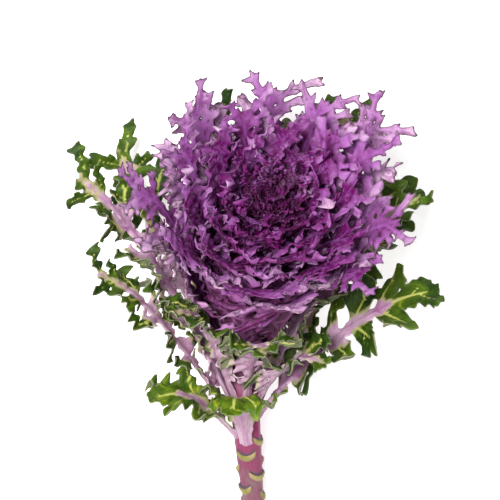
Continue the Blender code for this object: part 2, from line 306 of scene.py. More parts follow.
# A lobe's axis: its share of the lobe's length, and its steps
LOBE_AXIS = 0.82
LOBE_STEPS = 5

# How twigs vary. Bends and turns in radians and shifts are the spread of a normal draw,
# and pairs are the ends of a range, as shares of the usual length or width
LOBE_BEND = 0.14
LOBE_LENGTHS = (0.98, 1.1)
SMALL_LOBE_BEND = 0.25
SMALL_LOBE_WIDTHS = (0.8, 1.1)
SMALL_LOBE_TAPER = (0.85, 1.15)
SMALL_LOBE_SHIFT = 0.07
SIDE_OFFSET = 0.22
TOOTH_BEND = 0.3
TOOTH_TURN = 0.12
TOOTH_LENGTHS = (0.7, 1.2)
SIDE_TOOTH_TURNS = (0.7, 1.0)
SIDE_TOOTH_LENGTHS = (0.8, 1.2)
FRINGE_LENGTHS = (0.7, 1.15)
FRINGE_REACH = (0.22, 0.55)
FRINGE_LARGE = 10 * MM
FRINGE_HALF = 5 * MM

# The flat outline: its grid, the stalk's twigs, how far off a twig is read, the room that
# tips keep to the solids' box, and how far marks and thickness fade at tips and margins
ROW_RISE = math.sqrt(0.75)
GRID_MARGIN = 3 * MM
FAR_OUT = 5 * MM
STALK_SINK = 5 * MM
STALK_SHARE = 0.6
RIB_STATIONS = 11
CUT_SHARES = (0.08, 0.92)
SEED_REACH = 100 * MM
JUST_OUT = 0.001 * MM
TWIG_REACH = 3 * MM
TIP_ROOM = 1.5 * MM
TIP_MARK = 1.6 * MM
SOFT_MARGIN = 1.2 * MM

# Ruffles: how fast lobes swing out, the shares of twist and crimp, the crimp's length as
# a share of the ruffle's and its slant, and where the tip curls, as shares of the leaf
SWING_POWER = 1.3
TWIST = 0.7
CRIMP = 0.6
CRIMP_LENGTH = 0.62
CRIMP_SLANT = 0.6
TIP_CURL_SPAN = (0.6, 1.05)

# How far a vein stands out above and below the blade, as a share of its ridge
VEIN_ABOVE = 0.25
VEIN_BELOW = 0.9

# The finishes' shared gloss and bump, and the stage
SPECULAR = 0.2
BUMP_STRENGTH = 0.6
FLOOR_SIZE = 6
FLOOR_FLECK = (0.8, 0.8, 0.8)
WORLD_LIGHT = 0.24
KEY_PLACE = (-0.4, 0.2, 1.4)
KEY_SIZE = 0.6
FILL_PLACE = (0.7, -0.7, 1.1)
FILL_SIZE = 0.9
LIGHT_AIM = (0, 30 * MM, 60 * MM)
VIEW_MIDDLE = (-3.15 * MM, 41.0 * MM, 50 * MM)
SENSOR_WIDTH = 36


def mix(pair, share):
    """The value that lies a share of the way from a pair's first to its second."""
    return pair[0] + (pair[1] - pair[0]) * share


def smooth(low, high, value):
    """0 below low, 1 above high, and a soft step between them."""
    t = np.clip((value - low) / (high - low), 0, 1)
    return t * t * (3 - 2 * t)


def linear(red, green, blue):
    """A colour for the shaders from red, green and blue between 0 and 255."""
    return tuple(
        c / 12.92 if c <= 0.04045 else ((c + 0.055) / 1.055) ** 2.4
        for c in (red / 255, green / 255, blue / 255)
    )


# Places round the stem


def spine(height):
    """Distance along the surface, height above it and rise of the middle line."""
    turn = HEAD_NOD / NOD_LENGTH
    bent = np.clip(height, 0, NOD_LENGTH)
    straight = height - bent
    rise = STEM_RISE + turn * bent
    along = (np.sin(rise) - math.sin(STEM_RISE)) / turn + straight * np.cos(rise)
    up = (math.cos(STEM_RISE) - np.cos(rise)) / turn + straight * np.sin(rise)
    return along, up, rise


def place(x, y, height):
    """World points of a point beside the middle line: x to +X, y to the upper side."""
    along, up, rise = spine(height)
    lean = HEAD_LEAN * (np.maximum(height, 0) / NOD_LENGTH) ** 2
    lean = lean - STEM_LEAN * np.minimum(height, 0)
    return np.stack(
        [
            x + lean + ORIGIN_SHIFT[0],
            along - y * np.sin(rise) + ORIGIN_SHIFT[1],
            up + y * np.cos(rise) + BASE_HEIGHT,
        ],
        axis=-1,
    )


def root_radius(leaf):
    """Where a leaf starts: clear of the stem, or sunk in the heart's core."""
    if leaf.root < CROWN_TOP:
        return np.interp(leaf.root, STEM_HEIGHTS, STEM_RADII) + GAP + leaf.thickness / 2
    return np.interp(leaf.root, HEART_HEIGHTS, HEART_RADII) - HEART_SINK


def midline(leaf):
    """Radius, height and lean at even steps along a leaf's rib."""
    u = np.linspace(0, 1, LINE_STEPS + 1)
    root, middle, tip = (math.radians(angle) for angle in leaf.lean)
    lean = root * (1 - u) * (1 - 2 * u) + middle * 4 * u * (1 - u) + tip * u * (2 * u - 1)
    step = leaf.length / LINE_STEPS
    between = (lean[1:] + lean[:-1]) / 2
    radius = root_radius(leaf) + np.concatenate([[0], np.cumsum(np.sin(between))]) * step
    height = leaf.root + np.concatenate([[0], np.cumsum(np.cos(between))]) * step
    return u * leaf.length, radius, height, lean


def on_leaf(leaf, along, across, lift):
    """World points for leaf points: along the rib, across it, lifted off the shell."""
    steps, radii, heights, leans = midline(leaf)
    corner = math.sin(4 * (leaf.azimuth - CORNER)) * (leaf.wave == 0)
    across = across - GATHER * corner * (along / leaf.length) ** 2 * (1 - leaf.share)
    inside = np.clip(along, 0, leaf.length)
    past = along - inside
    lean = np.interp(inside, steps, leans)
    radius = np.interp(inside, steps, radii) + past * np.sin(lean)
    height = np.interp(inside, steps, heights) + past * np.cos(lean)
    turn = leaf.azimuth + across / np.maximum(radius, MM)
    radius = radius - lift * np.cos(lean)
    height = height + lift * np.sin(lean)
    return place(radius * np.cos(turn), radius * np.sin(turn), height)


def strip_half_width(leaf, u):
    """Half width of the uncut strip along the rib, at a share u of the leaf."""
    wide = leaf.lobes.strip * leaf.half_width
    knots = (0, leaf.bare, (leaf.bare + BLADE_END) / 2, BLADE_END, 1)
    return np.interp(u, knots, (leaf.rib, leaf.rib, wide, wide * 0.7, leaf.rib * 0.5))


def lobe_list(leaf):
    """Side lobes from the lowest: rib position, base half length, angle, reach."""
    count = len(leaf.lobes.reach)
    pitch = (BLADE_END - leaf.bare) * leaf.length / count
    found = []
    for index, reach in enumerate(leaf.lobes.reach):
        angle = math.radians(mix(leaf.lobes.angles, index / (count - 1)))
        base = leaf.bare * leaf.length + pitch * (index + 0.5)
        strip = strip_half_width(leaf, base / leaf.length)
        found.append((base, pitch / 2, angle, reach * leaf.half_width - strip))
    return found


# A leaf's flat outline, as twigs


class Twigs:
    """The tapered twigs whose joint outline is a leaf, laid flat."""

    def __init__(self, cut, size, seed):
        self.cut = cut
        self.size = size
        self.random = np.random.default_rng(seed)
        self.rows = []

    def line(self, start, angle, length, bend, count):
        """Points along a line that turns by bend over its length."""
        angles = angle + bend * (np.arange(count) + 0.5) / count
        steps = np.stack([np.cos(angles), np.sin(angles)], axis=1) * length / count
        return np.vstack([[start], start + np.cumsum(steps, axis=0)])

    def add(self, line, radii, veins, run, tip=False):
        """Adds a twig for each step of a line. Radii and veins change evenly along it."""
        count = len(line) - 1
        step = np.linalg.norm(line[-1] - line[0]) / count
        shares = np.linspace(0, 1, count + 1)
        radii = np.interp(shares, np.linspace(0, 1, len(radii)), radii)
        veins = np.interp(shares, np.linspace(0, 1, len(veins)), veins)
        for index in range(count):
            is_tip = float(tip and index == count - 1)
            self.rows.append(
                (*line[index], *line[index + 1], radii[index], radii[index + 1])
                + (veins[index], veins[index + 1], run + step * index, is_tip)
            )

    def sized(self, radii):
        """A row of radii for a leaf of this size."""
        return [radius * self.size for radius in radii]

    def teeth(self, start, angle, run, count):
        """Adds the pointed teeth at the end of a small lobe."""
        cut = self.cut
        for index in range(count):
            turn = cut.spread * (index - (count - 1) / 2) + self.random.normal(0, TOOTH_TURN)
            length = cut.tooth_length * self.size * self.random.uniform(*TOOTH_LENGTHS)
            bend = self.random.normal(0, TOOTH_BEND)
            line = self.line(start, angle + turn, length, bend, 2)
            self.add(line, self.sized(cut.tooth), (0, 0), run, tip=True)

    def small_lobe(self, start, angle, length, run):
        """Adds a small lobe with a toothed end, and side teeth if it is long."""
        cut = self.cut
        tooth = cut.tooth_length * self.size
        stalk = max(length - tooth * 0.8, tooth * 0.3)
        bend = self.random.normal(0, SMALL_LOBE_BEND)
        line = self.line(start, angle, stalk, bend, 2)
        veins = self.sized((cut.vein * 0.45, cut.vein * 0.2))
        self.add(line, self.sized(cut.small), veins, run)
        self.teeth(line[-1], angle + bend, run + stalk, self.random.integers(2, 4))
        if stalk > 1.6 * tooth:
            for side in (-1, 1):
                turn = side * self.random.uniform(*SIDE_TOOTH_TURNS)
                reach = tooth * self.random.uniform(*SIDE_TOOTH_LENGTHS)
                tooth_line = self.line(line[1], angle + turn, reach, -side * TOOTH_BEND, 2)
                self.add(tooth_line, self.sized(cut.tooth), (0, 0), run + stalk / 2, tip=True)

    def lobe(self, start, angle, length, half, run, clear, grown=1.0):
        """Adds a large lobe: a bent axis with small lobes up to half beside it.

        Its small lobes start clear of its foot, and grown scales its twigs.
        """
        cut = self.cut
        usual = self.size
        self.size = usual * grown
        bend = self.random.normal(0, LOBE_BEND)
        long = length * LOBE_AXIS
        line = self.line(start, angle, long, bend, LOBE_STEPS)
        self.add(line, self.sized(cut.axis), self.sized((cut.vein, cut.vein * 0.4)), run)
        reach = np.linspace(0, long, LOBE_STEPS + 1)
        count = max(1, round((long - clear) / (cut.pitch * usual)))
        for index in range(count):
            for side in (-1, 1):
                shift = self.random.normal(0, SMALL_LOBE_SHIFT)
                share = (index + 0.5 + SIDE_OFFSET * side + shift) / count
                at = clear + (long - clear) * np.clip(share, 0, 1)
                begin = np.array([np.interp(at, reach, line[:, axis]) for axis in (0, 1)])
                turn = side * mix(cut.turn, share)
                wide = half * cut.reach * mix(SMALL_LOBE_TAPER, share)
                wide = wide * self.random.uniform(*SMALL_LOBE_WIDTHS)
                small = wide / math.sin(abs(turn))
                here = angle + bend * at / long
                self.small_lobe(begin, here + turn, small, run + at)
        self.small_lobe(line[-1], angle + bend, length * 0.2, run + long)
        self.size = usual

    def table(self):
        """The twigs as columns: x, y, x, y, radii, veins, run, tip."""
        return np.array(self.rows, float)


def leaf_twigs(leaf, cut, seed):
    """The twigs of one leaf: its rib, its side lobes and the lobe at its tip."""
    size = (leaf.half_width / cut.full_width) ** SIZE_POWER
    twigs = Twigs(cut, size, seed)
    length = leaf.length
    stalk = np.array([(-STALK_SINK, 0), (0, 0), (leaf.bare * length * STALK_SHARE, 0)])
    radii = (leaf.rib * cut.stalk, leaf.rib * cut.stalk * 0.8)
    twigs.add(stalk, radii, (leaf.thickness * 0.6, leaf.thickness * 0.5), 0)
    stations = np.linspace(stalk[-1, 0], BLADE_END * length, RIB_STATIONS)
    rib = np.stack([stations, np.zeros(RIB_STATIONS)], axis=1)
    veins = (leaf.thickness * 0.5, cut.vein * size)
    twigs.add(rib, twigs.sized(cut.strip), veins, stations[0])
    for base, half_base, angle, reach in lobe_list(leaf):
        grown = mix(cut.grow, base / length)
        strip = strip_half_width(leaf, base / length)
        half = half_base * math.sin(angle) - LOBE_GAP / 2 + reach * LOBE_SPREAD
        start = np.array([base - strip / math.tan(angle), 0])
        clear = strip / math.sin(angle)
        for side in (-1, 1):
            long = (clear + reach) * twigs.random.uniform(*LOBE_LENGTHS)
            twigs.lobe(start, side * angle, long, half, start[0], clear * 0.55, grown)
    end = length * (1 - BLADE_END)
    tip = np.array([BLADE_END * length, 0])
    twigs.lobe(tip, 0, end * 0.88, end * 0.42, tip[0], 0, cut.grow[1])
    fringe(twigs, leaf)
    if cut.fan:
        for side in (-1, 1):
            spread = twigs.line(np.zeros(2), side * cut.fan, length * 0.45, -side * 0.3, LOBE_STEPS)
            twigs.add(spread, (leaf.rib * 0.7, leaf.rib * 1.1), (0.4 * MM, 0.2 * MM), 0)
    return twigs.table()


def fringe(twigs, leaf):
    """Adds the lobes that stand along the leaf's stalk, growing towards the blade."""
    start, stop = twigs.cut.fringe * leaf.length, leaf.bare * leaf.length
    count = max(2, round((stop - start) / (twigs.cut.pitch * 1.15)))
    for index in range(count):
        share = (index + 0.5) / count
        at = start + (stop - start) * share
        for side in (-1, 1):
            begin = np.array([at + twigs.random.normal(0, MM), 0])
            reach = leaf.half_width * mix(FRINGE_REACH, share)
            reach = reach * twigs.random.uniform(*FRINGE_LENGTHS)
            angle = side * twigs.random.uniform(*twigs.cut.rise)
            if reach > FRINGE_LARGE:
                twigs.lobe(begin, angle, reach * 1.2, FRINGE_HALF, begin[0], leaf.rib * 1.4)
            else:
                twigs.small_lobe(begin, angle, reach * 1.2 + leaf.rib, begin[0])


def along_twig(twig, x, y):
    """Distance to a twig's axis, share along it, and signed offset beside it."""
    step = twig[2:4] - twig[0:2]
    length = max(np.hypot(*step), 1e-9)
    ahead = step / length
    dx = x - twig[0]
    dy = y - twig[1]
    reach = dx * ahead[0] + dy * ahead[1]
    share = np.clip(reach / length, 0, 1)
    offset = dy * ahead[0] - dx * ahead[1]
    return np.hypot(offset, reach - share * length), share, offset


def twig_box(twig, room):
    """Left, right, bottom and top of a twig with room round it."""
    left, right = sorted((twig[0], twig[2]))
    bottom, top = sorted((twig[1], twig[3]))
    return left - room, right + room, bottom - room, top + room


def read_twigs(table, x, y):
    """At each point: run and offset on its twig, vein ridge, rib share, way to a tip."""
    best, run, offset = np.ones_like(x), np.zeros_like(x), np.zeros_like(x)
    ridge, rib, to_tip = np.zeros_like(x), np.zeros_like(x), np.ones_like(x)
    for twig in table:
        left, right, bottom, top = twig_box(twig, max(twig[4], twig[5]) + TWIG_REACH)
        near = np.nonzero((x > left) & (x < right) & (y > bottom) & (y < top))[0]
        distance, share, beside = along_twig(twig, x[near], y[near])
        outside = distance - mix((twig[4], twig[5]), share)
        vein = mix((twig[6], twig[7]), share)
        wide = np.maximum(vein * 1.25, 1e-6)
        swell = vein * np.sqrt(np.maximum(1 - (distance / wide) ** 2, 0))
        ridge[near] = np.maximum(ridge[near], swell)
        rib[near] = np.maximum(rib[near], 1 - distance / (wide * 1.5))
        if twig[9]:
            way = np.hypot(x[near] - twig[2], y[near] - twig[3])
            to_tip[near] = np.minimum(to_tip[near], way)
        nearer = outside < best[near]
        chosen = near[nearer]
        best[chosen] = outside[nearer]
        run[chosen] = twig[8] + share[nearer] * np.hypot(*(twig[2:4] - twig[0:2]))
        offset[chosen] = beside[nearer]
    return run, offset, ridge, rib, to_tip


def outline_field(table, low, step, rows, columns, web):
    """Distance to the leaf's outline on a grid of staggered rows, below 0 inside it."""
    tall = step * ROW_RISE
    field = np.full((rows, columns), FAR_OUT)
    for twig in table:
        room = max(twig[4], twig[5]) + web + 2 * step
        left, right, bottom, top = twig_box(twig, room)
        j0 = max(int((bottom - low[1]) / tall), 0)
        j1 = min(int((top - low[1]) / tall) + 2, rows)
        i0 = max(int((left - low[0]) / step) - 1, 0)
        i1 = min(int((right - low[0]) / step) + 2, columns)
        j, i = np.mgrid[j0:j1, i0:i1]
        x = low[0] + (i + 0.5 * (j % 2)) * step
        y = low[1] + j * tall
        distance, share, _ = along_twig(twig, x, y)
        new = distance - mix((twig[4], twig[5]), share)
        old = field[j0:j1, i0:i1]
        near = np.maximum(web - np.abs(new - old), 0) / web
        field[j0:j1, i0:i1] = np.minimum(new, old) - near * near * web / 4
    return field


def joined_to(seed, inside):
    """The grid points inside the outline that are joined to the seed points."""
    found = seed & inside
    odd = (np.arange(inside.shape[0]) % 2 == 1)[:, None]
    while True:
        grown = found.copy()
        grown[:, 1:] |= found[:, :-1]
        grown[:, :-1] |= found[:, 1:]
        for step in (-1, 1):
            other = np.roll(found, step, axis=0)
            grown |= other
            grown |= np.where(odd, np.roll(other, -1, axis=1), np.roll(other, 1, axis=1))
        grown &= inside
        if (grown == found).all():
            return found
        found = grown


def grid_triangles(rows, columns):
    """Triangles between the points of a grid whose odd rows are half a step over."""
    j, i = np.mgrid[0:rows, 0:columns]
    number = j * columns + i
    a, b = number[:-1, :-1], number[:-1, 1:]
    c, d = number[1:, :-1], number[1:, 1:]
    even = (j[:-1, :-1] % 2 == 0)[..., None]
    first = np.where(even, np.stack([a, b, c], -1), np.stack([a, b, d], -1))
    second = np.where(even, np.stack([b, d, c], -1), np.stack([a, d, c], -1))
    return np.concatenate([first.reshape(-1, 3), second.reshape(-1, 3)])


def lone_first(triangles, lone):
    """Triangles turned so that the corner that is marked as lone comes first."""
    first_at = np.argmax(lone, axis=1)[:, None]
    return np.take_along_axis(triangles, (first_at + np.arange(3)) % 3, axis=1)


def cut_out(field, low, step):
    """Points, their depth inside, triangles and border edges of the shape cut out.

    Triangles with one or two corners inside are cut where the outline crosses them.
    """
    rows, columns = field.shape
    j, i = np.mgrid[0:rows, 0:columns]
    x = low[0] + (i + 0.5 * (j % 2)) * step
    y = low[1] + j * step * ROW_RISE
    seed = (np.abs(y) < step) & (x < SEED_REACH)
    inside = joined_to(seed, field < 0)
    depth = np.where(inside, -field, np.minimum(-field, -JUST_OUT)).ravel()
    points = np.stack([x.ravel(), y.ravel()], axis=1)
    triangles = grid_triangles(rows, columns)
    flags = depth[triangles] > 0
    held = flags.sum(axis=1)
    whole = triangles[held == 3]
    one = lone_first(triangles[held == 1], flags[held == 1])
    two = lone_first(triangles[held == 2], ~flags[held == 2])
    crossed = np.concatenate([one[:, [0, 1]], one[:, [0, 2]], two[:, [0, 1]], two[:, [0, 2]]])
    crossed.sort(axis=1)
    keys, where = np.unique(crossed[:, 0] * rows * columns + crossed[:, 1], return_inverse=True)
    ends = np.stack([keys // (rows * columns), keys % (rows * columns)], axis=1)
    share = np.clip(depth[ends[:, 0]] / (depth[ends[:, 0]] - depth[ends[:, 1]]), *CUT_SHARES)
    cuts = points[ends[:, 0]] + (points[ends[:, 1]] - points[ends[:, 0]]) * share[:, None]
    where = where.reshape(-1) + len(points)
    n1, n2 = len(one), len(two)
    one_ab, one_ac = where[:n1], where[n1 : 2 * n1]
    two_ab, two_ac = where[2 * n1 : 2 * n1 + n2], where[2 * n1 + n2 :]
    faces = np.concatenate(
        [
            whole,
            np.stack([one[:, 0], one_ab, one_ac], 1),
            np.stack([two[:, 1], two[:, 2], two_ac], 1),
            np.stack([two[:, 1], two_ac, two_ab], 1),
        ]
    )
    border = np.concatenate([np.stack([one_ab, one_ac], 1), np.stack([two_ac, two_ab], 1)])
    all_points = np.concatenate([points, cuts])
    all_depth = np.concatenate([depth, np.zeros(len(cuts))])
    used, faces = np.unique(faces, return_inverse=True)
    faces = faces.reshape(-1, 3)
    return all_points[used], all_depth[used], faces, np.searchsorted(used, border)


# Leaves in the round


def point_normals(points, faces):
    """Unit normals at the points of a mesh of triangles."""
    sides = points[faces]
    normal = np.cross(sides[:, 1] - sides[:, 0], sides[:, 2] - sides[:, 0])
    summed = np.zeros_like(points)
    for corner in range(3):
        for axis in range(3):
            summed[:, axis] += np.bincount(faces[:, corner], normal[:, axis], len(points))
    return summed / np.maximum(np.linalg.norm(summed, axis=1, keepdims=True), 1e-12)


def ruffle(leaf, look, along, across, depth, phase):
    """How far each flat point is lifted off the leaf's shell.

    Lobes swing in and out in turn, their edges twist and crimp, their ends curl, the
    leaf rolls towards the upper side and its tip curls.
    """
    share = np.clip((along / leaf.length - leaf.bare) / (BLADE_END - leaf.bare), 0, 1)
    angle = np.radians(mix(leaf.lobes.angles, share))
    side = np.sign(across)
    out = np.abs(across) / leaf.half_width
    pitch = (BLADE_END - leaf.bare) * leaf.length / len(leaf.lobes.reach)
    rooted = along - np.abs(across) / np.tan(angle) - leaf.bare * leaf.length
    turn = math.pi * rooted / pitch
    blade = smooth(0.0, 0.5, along / (leaf.bare * leaf.length))
    lobes = side * np.sin(turn) * (leaf.wave + look.lobe_wave) * out**SWING_POWER
    reach = np.abs(across) / np.sin(angle)
    twist = np.sin(2 * turn) * np.sin(math.pi * reach / look.ruffle_length + phase)
    edge = np.exp(-depth / SOFT_MARGIN)
    slanted = along + CRIMP_SLANT * across
    crimp = np.sin(math.tau * slanted / (CRIMP_LENGTH * look.ruffle_length) + 3 * phase)
    curl = look.curl * (0.4 + 1.2 * math.sin(phase)) * np.clip(out, 0, 1.2) ** 2
    tip = look.tip_curl * smooth(*TIP_CURL_SPAN, along / leaf.length) ** 2
    roll = -across * math.tan(look.roll) * math.cos(leaf.azimuth)
    deep = look.ruffle_depth * (0.75 + 0.6 * leaf.share)
    fine = deep * (TWIST * twist * out + CRIMP * crimp * edge * (0.3 + out))
    return blade * (lobes + fine + curl + roll) + tip


def shortened(leaf, table):
    """The twigs drawn a little shorter, if they would pass the solids' box."""
    low, high = (np.array(corner) for corner in CAD_BOX)
    for share in np.arange(1, 0.8, -0.01):
        tips = table[:, 2:4] * (share, 1)
        points = on_leaf(leaf, tips[:, 0], tips[:, 1], 0)
        if (points < high - TIP_ROOM).all() and (points[:, :2] > low[:2] + TIP_ROOM).all():
            break
    scaled = table.copy()
    scaled[:, [0, 2]] *= share
    return scaled


def flat_leaf(leaf, cut, seed):
    """One leaf cut out flat: points, depths, triangles, border edges and its twigs."""
    table = shortened(leaf, leaf_twigs(leaf, cut, seed))
    step = mix(cut.grid, leaf.share)
    starts = table[:, [0, 1]]
    ends = table[:, [2, 3]]
    low = starts.min(axis=0) - GRID_MARGIN - leaf.rib
    low = np.minimum(low, ends.min(axis=0) - GRID_MARGIN)
    high = np.maximum(starts.max(axis=0), ends.max(axis=0)) + GRID_MARGIN
    columns = int((high[0] - low[0]) / step) + 2
    rows = int((high[1] - low[1]) / (step * ROW_RISE)) + 2
    field = outline_field(table, low, step, rows, columns, cut.web)
    return (*cut_out(field, low, step), table)


def two_sided(faces, border, count):
    """Triangles of a closed body: a face, the same face below it and walls between."""
    first, second = border.T
    walls = np.concatenate(
        [
            np.stack([second, first, first + count], 1),
            np.stack([second, first + count, second + count], 1),
        ]
    )
    return np.concatenate([faces, faces[:, ::-1] + count, walls])


def leaf_mesh(leaf, cut, look, seed):
    """Points, triangles and per-point marks of one leaf as a closed, thin body."""
    flat, depth, faces, border, table = flat_leaf(leaf, cut, seed)
    along, across = flat.T
    run, offset, ridge, rib, to_tip = read_twigs(table, along, across)
    random = np.random.default_rng(seed + RUFFLE_SEED).random()
    lift = ruffle(leaf, look, along, across, depth, math.tau * random)
    middle = on_leaf(leaf, along, across, lift)
    half = cut.edge + (look.blade / 2 - cut.edge) * np.clip(depth / SOFT_MARGIN, 0, 1)
    middle[:, 2] = np.maximum(middle[:, 2], half + ridge + FLOOR_CLEARANCE)
    normal = point_normals(middle, faces)
    inner = on_leaf(leaf, along, across, lift + MM)
    inward = np.sign(np.median(np.sum(normal * (inner - middle), axis=1)))
    upper = middle + normal * inward * (half + ridge * VEIN_ABOVE)[:, None]
    under = middle - normal * inward * (half + ridge * VEIN_BELOW)[:, None]
    points = kept_inside(np.concatenate([upper, under]))
    points[:, 2] = np.maximum(points[:, 2], FLOOR_CLEARANCE)
    if inward <= 0:
        faces = faces[:, ::-1]
        border = border[:, ::-1]
    count = len(flat)
    triangles = two_sided(faces, border, count)
    out = np.abs(across) / leaf.half_width
    # The order mark is the leaf's place plus painted shade on the upper side's leaves
    order = leaf.share + UPPER_SIDE_PAINTED_SHADE * max(math.sin(leaf.azimuth), 0)
    marks = {
        "blade": np.stack([along / leaf.length, out, depth / MM], 1),
        "grain": np.stack([run / MM, offset / MM, np.full(count, random)], 1),
        "mark": np.stack([rib, np.zeros(count), np.clip(1 - to_tip / TIP_MARK, 0, 1)], 1),
        "order": np.full((count, 1), order),
    }
    marks = {name: np.concatenate([values, values]) for name, values in marks.items()}
    marks["mark"][count:, 1] = 1
    return points, triangles, marks


def kept_inside(points):
    """Eases points that pass the solids' box back to a little outside it."""
    low, high = (np.array(corner) for corner in CAD_BOX)
    room = BOX_ROOM * (high - low)
    above = np.maximum(points - high + room, 0)
    below = np.maximum(low - room * 0.2 - points, 0)
    eased = points - above + 2 * room * np.tanh(above / (2 * room))
    return eased + below - 0.8 * room * np.tanh(below / (0.8 * room))


def joined(parts):
    """Several meshes with their marks as one."""
    points, triangles, marks = [], [], {}
    count = 0
    for part_points, part_triangles, part_marks in parts:
        points.append(part_points)
        triangles.append(part_triangles + count)
        count += len(part_points)
        for name, values in part_marks.items():
            marks.setdefault(name, []).append(values)
    marks = {name: np.concatenate(values) for name, values in marks.items()}
    return np.concatenate(points), np.concatenate(triangles), marks


def thinned(piece, keep):
    """Swaps a piece's mesh for one that has a share of its triangles."""
    fewer = piece.modifiers.new("fewer", "DECIMATE")
    fewer.ratio = keep
    graph = bpy.context.evaluated_depsgraph_get()
    whole = piece.data
    piece.data = bpy.data.meshes.new_from_object(piece.evaluated_get(graph))
    piece.modifiers.clear()
    bpy.data.meshes.remove(whole)


def add_piece(name, made, material, keep, slot, *nodes):
    """Adds a mesh with its marks as a piece that stands for CAD nodes."""
    points, triangles, marks = made
    mesh = bpy.data.meshes.new(name)
    mesh.from_pydata(points.tolist(), [], triangles.tolist())
    for mark, values in marks.items():
        kind = "FLOAT_VECTOR" if values.shape[1] == 3 else "FLOAT"
        field = "vector" if values.shape[1] == 3 else "value"
        layer = mesh.attributes.new(mark, kind, "POINT")
        layer.data.foreach_set(field, values.astype(np.float32).ravel())
    mesh.shade_smooth()
    mesh.materials.append(material)
    piece = bpy.data.objects.new(name, mesh)
    bpy.context.scene.collection.objects.link(piece)
    thinned(piece, keep)
    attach(piece, BODY)
    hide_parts(*nodes)


def outer_kind(number, leaf):
    """The name of the kind that an outer leaf is of."""
    if number in LACE_ROWS:
        return "lace"
    if leaf.length < PAD_LEAF:
        return "bright"
    return "broad"


def outer_leaf(number, row):
    """The outer leaf of that number, from its row."""
    azimuth, root, length, lean, half_width, wave = row
    return Leaf(
        name=f"outer_leaf_{number:02d}",
        azimuth=math.radians(azimuth),
        root=root * MM,
        length=length * MM,
        lean=lean,
        half_width=half_width * MM,
        bare=OUTER_BARE,
        rib=min(OUTER_RIB, length * MM * SHORT_RIB),
        thickness=OUTER_THICKNESS,
        lobes=PINNATE if length * MM > SHORT_LEAF else NARROW,
        wave=wave * MM,
        share=number / len(OUTER_ROWS),
    )


def rosette_leaf(index):
    """The rosette's leaf of that index, counted from the outermost."""
    share = index / (ROSETTE_COUNT - 1)
    return Leaf(
        name=f"rosette_leaf_{index + 1:02d}",
        azimuth=ROSETTE_FIRST + index * GOLDEN_ANGLE,
        root=mix(ROSETTE_ROOTS, share),
        length=mix(ROSETTE_LENGTHS, share),
        lean=tuple(mix(pair, share) for pair in zip(*ROSETTE_LEANS)),
        half_width=mix(ROSETTE_HALF_WIDTHS, share),
        bare=ROSETTE_BARE,
        rib=mix(ROSETTE_RIBS, share),
        thickness=mix(ROSETTE_THICKNESSES, share),
        lobes=FAN if share < NARROW_FROM else NARROW,
        wave=0.0,
        share=share,
    )


def heart_leaf(index, count):
    """One small leaf of the heart, rooted in the core."""
    share = index / (count - 1)
    random = np.random.default_rng(HEART_PLACE_SEED + index)
    tilt = random.normal(0, HEART_LEAN_SPREAD)
    return Leaf(
        name="heart_leaf",
        azimuth=index * GOLDEN_ANGLE + random.normal(0, HEART_TURN_SPREAD),
        root=HEART_FOOT + mix(HEART_ROOTS, share),
        length=mix(HEART_LENGTHS, share) * random.uniform(0.82, 1.12),
        lean=tuple(mix(pair, share) + tilt for pair in zip(*HEART_LEANS)),
        half_width=mix(HEART_HALF_WIDTHS, share) * random.uniform(0.8, 1.2),
        bare=HEART_BARE,
        rib=mix(HEART_RIBS, share),
        thickness=HEART_THICKNESS,
        lobes=SMALL,
        wave=0.0,
        share=share,
    )


# The stem


def turned_grid(heights, sides, surface):
    """A closed body turned about the middle line. surface gives radii and marks."""
    azimuths = np.linspace(0, math.tau, sides, endpoint=False)
    height, azimuth = np.meshgrid(heights, azimuths, indexing="ij")
    radius, marks = surface(height, azimuth)
    points = place(radius * np.cos(azimuth), radius * np.sin(azimuth), height)
    points = points.reshape(-1, 3)
    rings = len(heights)
    number = np.arange(rings * sides).reshape(rings, sides)
    a = number[:-1]
    b = np.roll(a, -1, axis=1)
    c = number[1:]
    d = np.roll(c, -1, axis=1)
    faces = np.concatenate(
        [np.stack([a, c, b], -1).reshape(-1, 3), np.stack([b, c, d], -1).reshape(-1, 3)]
    )
    ends = place(np.zeros(2), np.zeros(2), np.array([heights[0], heights[-1]]))
    points = np.concatenate([points, ends])
    foot, top = rings * sides, rings * sides + 1
    low, high = number[0], number[-1]
    caps = [
        np.stack([np.full(sides, foot), low, np.roll(low, -1)], 1),
        np.stack([np.full(sides, top), np.roll(high, -1), high], 1),
    ]
    points[:, 2] = np.maximum(points[:, 2], FLOOR_CLEARANCE)
    flat_marks = {}
    for name, values in marks.items():
        values = values.reshape(rings * sides, -1)
        flat_marks[name] = np.concatenate([values, values[[0]], values[[-1]]])
    return points, np.concatenate([faces, *caps]), flat_marks


